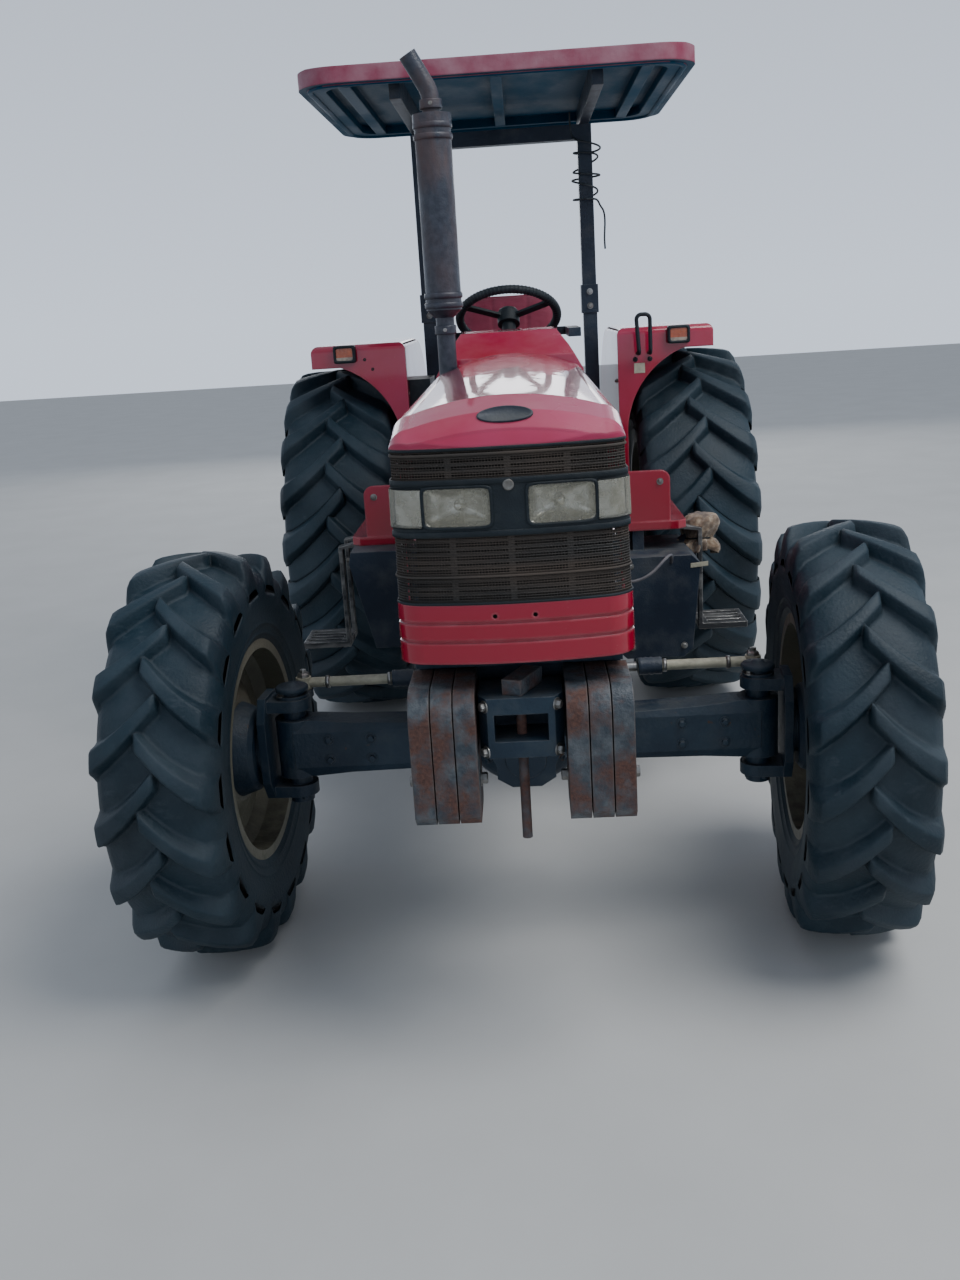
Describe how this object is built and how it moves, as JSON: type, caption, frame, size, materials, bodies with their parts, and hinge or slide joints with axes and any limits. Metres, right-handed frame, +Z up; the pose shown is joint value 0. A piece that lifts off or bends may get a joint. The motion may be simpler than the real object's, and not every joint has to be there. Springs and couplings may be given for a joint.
{
  "type": "four-wheel-drive farm tractor",
  "caption": "Utility farm tractor with front-axle drive, lift-up hood, roll bar with a roof, front weights on a hook bar, and a rear three-point hitch, drawbar and power take-off.",
  "frame": {"origin": "on the ground, at the middle of the tractor's length and width", "axes": "+Z up, +Y towards the rear, so the tractor faces -Y; +X is the tractor's left"},
  "size_m": [2.1912, 3.9, 2.6198],
  "materials": {
    "casting": "dusty dark blue-grey paint",
    "rear_hub_paint": "dusty paint",
    "dark_paint": "faded navy paint",
    "rusty_iron": "bare iron with old paint and rust",
    "radiator_core": "dusty black core",
    "exhaust_steel": "heat-stained dark paint",
    "red_paint": "glossy crimson, faded and dusty",
    "roof_plastic": "moulded roof, faded crimson above and navy below",
    "step_steel": "worn steel",
    "amber_lens": "amber lens in a black frame",
    "black_plastic": "dusty black",
    "seat_cloth": "red cloth cover",
    "bright_steel": "bare steel",
    "tie_rod_paint": "cream tube with a blue boot",
    "tyre_rubber": "dusty blue-black rubber",
    "rim_paint": "dusty beige-grey paint",
    "grille_mesh": "dusty brown mesh",
    "lamp_lens": "yellowed clear lens"
  },
  "bodies": {
    "chassis": {"engine_block": "casting", "gearbox_housing": "casting", "rear_axle_housing": "casting", "front_frame": "casting", "front_axle_beam": "casting", "drive_shaft": "dark_paint", "weight_bracket": "casting", "front_weights": "rusty_iron", "tow_pin": "rusty_iron", "radiator": "radiator_core", "exhaust": "exhaust_steel", "dash_cowl": "red_paint", "steering_column": "black_plastic", "platform": "red_paint", "battery_box": "dark_paint", "fuel_tank": "dark_paint", "steps": "step_steel", "fender_left": "red_paint", "fender_right": "red_paint", "fender_lamps": "amber_lens", "grab_handle": "black_plastic", "seat_base": "dark_paint", "seat_cushion": "seat_cloth", "seat_back": "seat_cloth", "roll_bar": "dark_paint", "roof": "roof_plastic", "controls": "black_plastic", "drawbar": "dark_paint", "drawbar_hanger": "casting", "pto_shaft": "bright_steel", "steering_cylinder": "dark_paint"},
    "knuckle_left": {"knuckle_left": "casting"},
    "knuckle_right": {"knuckle_right": "casting"},
    "front_wheel_left": {"front_tyre_left": "tyre_rubber", "front_rim_left": "rim_paint", "front_hub_left": "casting"},
    "front_wheel_right": {"front_tyre_right": "tyre_rubber", "front_rim_right": "rim_paint", "front_hub_right": "casting"},
    "rear_wheel_left": {"rear_tyre_left": "tyre_rubber", "rear_rim_left": "rim_paint", "rear_hub_left": "rear_hub_paint"},
    "rear_wheel_right": {"rear_tyre_right": "tyre_rubber", "rear_rim_right": "rim_paint", "rear_hub_right": "rear_hub_paint"},
    "steering_rod": {"steering_rod": "bright_steel"},
    "tie_rod_left": {"tie_rod_left": "tie_rod_paint"},
    "tie_rod_right": {"tie_rod_right": "tie_rod_paint"},
    "steering_wheel": {"steering_wheel": "black_plastic"},
    "hood": {"hood_shell": "red_paint", "valance": "red_paint", "lamp_panel": "black_plastic", "grille_upper": "grille_mesh", "grille_lower": "grille_mesh", "front_lamps": "lamp_lens"},
    "lift_arms": {"lift_arms": "dark_paint"},
    "lower_link_left": {"lower_link_left": "dark_paint"},
    "lower_link_right": {"lower_link_right": "dark_paint"},
    "lift_rod_left": {"lift_rod_left": "dark_paint"},
    "lift_rod_right": {"lift_rod_right": "dark_paint"}
  },
  "joints": [
    {"name": "steer_left", "type": "hinge", "parent": "chassis", "child": "knuckle_left", "pos_m": [0.6625, -1.25, 0.59], "axis": [0, 0, 1], "range_deg": [-40.4, 49.6]},
    {"name": "steer_right", "type": "hinge", "parent": "chassis", "child": "knuckle_right", "pos_m": [-0.6625, -1.25, 0.59], "axis": [0, 0, 1], "range_deg": [-40.4, 49.6]},
    {"name": "steering_rod_slide", "type": "slide", "parent": "chassis", "child": "steering_rod", "axis": [1, 0, 0], "range_m": [-0.103, 0.084]},
    {"name": "tie_rod_left_ball", "type": "hinge", "parent": "knuckle_left", "child": "tie_rod_left", "pos_m": [0.67293, -1.12042, 0.736], "axis": [0, 0, 1], "range_deg": [-49.7, 40.5]},
    {"name": "front_wheel_left_spin", "type": "hinge", "parent": "knuckle_left", "child": "front_wheel_left", "pos_m": [0.89575, -1.26877, 0.58], "axis": [0.9968, -0.0802, 0], "continuous": true},
    {"name": "rear_wheel_left_spin", "type": "hinge", "parent": "chassis", "child": "rear_wheel_left", "pos_m": [0.7455, 1.03, 0.774], "axis": [1, 0, 0], "continuous": true},
    {"name": "tie_rod_right_ball", "type": "hinge", "parent": "knuckle_right", "child": "tie_rod_right", "pos_m": [-0.65207, -1.12042, 0.736], "axis": [0, 0, 1], "range_deg": [-49.7, 40.5]},
    {"name": "front_wheel_right_spin", "type": "hinge", "parent": "knuckle_right", "child": "front_wheel_right", "pos_m": [-0.89575, -1.23123, 0.58], "axis": [0.9968, -0.0802, 0], "continuous": true},
    {"name": "rear_wheel_right_spin", "type": "hinge", "parent": "chassis", "child": "rear_wheel_right", "pos_m": [-0.7455, 1.03, 0.774], "axis": [1, 0, 0], "continuous": true},
    {"name": "steering_wheel_turn", "type": "hinge", "parent": "chassis", "child": "steering_wheel", "pos_m": [0, 0.23, 1.735], "axis": [0, 0.5446, 0.8387], "continuous": true},
    {"name": "hood_lift", "type": "hinge", "parent": "chassis", "child": "hood", "pos_m": [0, -0.356, 1.6], "axis": [-1, 0, 0], "range_deg": [0, 40]},
    {"name": "hitch_lift", "type": "hinge", "parent": "chassis", "child": "lift_arms", "pos_m": [0, 1.16, 1.01], "axis": [1, 0, 0], "range_deg": [-12, 34]},
    {"name": "lower_link_left_pivot", "type": "hinge", "parent": "chassis", "child": "lower_link_left", "pos_m": [0.23, 1.09, 0.54], "axis": [1, 0, 0], "range_deg": [-7.4, 20.8]},
    {"name": "lift_rod_left_pin", "type": "hinge", "parent": "lift_arms", "child": "lift_rod_left", "pos_m": [0.32, 1.40905, 1.03179], "axis": [1, 0, 0], "range_deg": [-29.8, 10.6]},
    {"name": "lower_link_right_pivot", "type": "hinge", "parent": "chassis", "child": "lower_link_right", "pos_m": [-0.23, 1.09, 0.54], "axis": [1, 0, 0], "range_deg": [-7.4, 20.8]},
    {"name": "lift_rod_right_pin", "type": "hinge", "parent": "lift_arms", "child": "lift_rod_right", "pos_m": [-0.32, 1.40905, 1.03179], "axis": [1, 0, 0], "range_deg": [-29.8, 10.6]}
  ],
  "couplings": [
    {"joint": "steer_right", "follows": "steer_left", "ratio": 1},
    {"joint": "steering_rod_slide", "follows": "steer_left", "m_per_rad": -0.117},
    {"joint": "tie_rod_left_ball", "follows": "steer_left", "ratio": -1},
    {"joint": "tie_rod_right_ball", "follows": "steer_left", "ratio": -1},
    {"joint": "lower_link_left_pivot", "follows": "hitch_lift", "ratio": 0.6082},
    {"joint": "lower_link_right_pivot", "follows": "hitch_lift", "ratio": 0.6082},
    {"joint": "lift_rod_left_pin", "follows": "hitch_lift", "ratio": -0.8721},
    {"joint": "lift_rod_right_pin", "follows": "hitch_lift", "ratio": -0.8721}
  ]
}
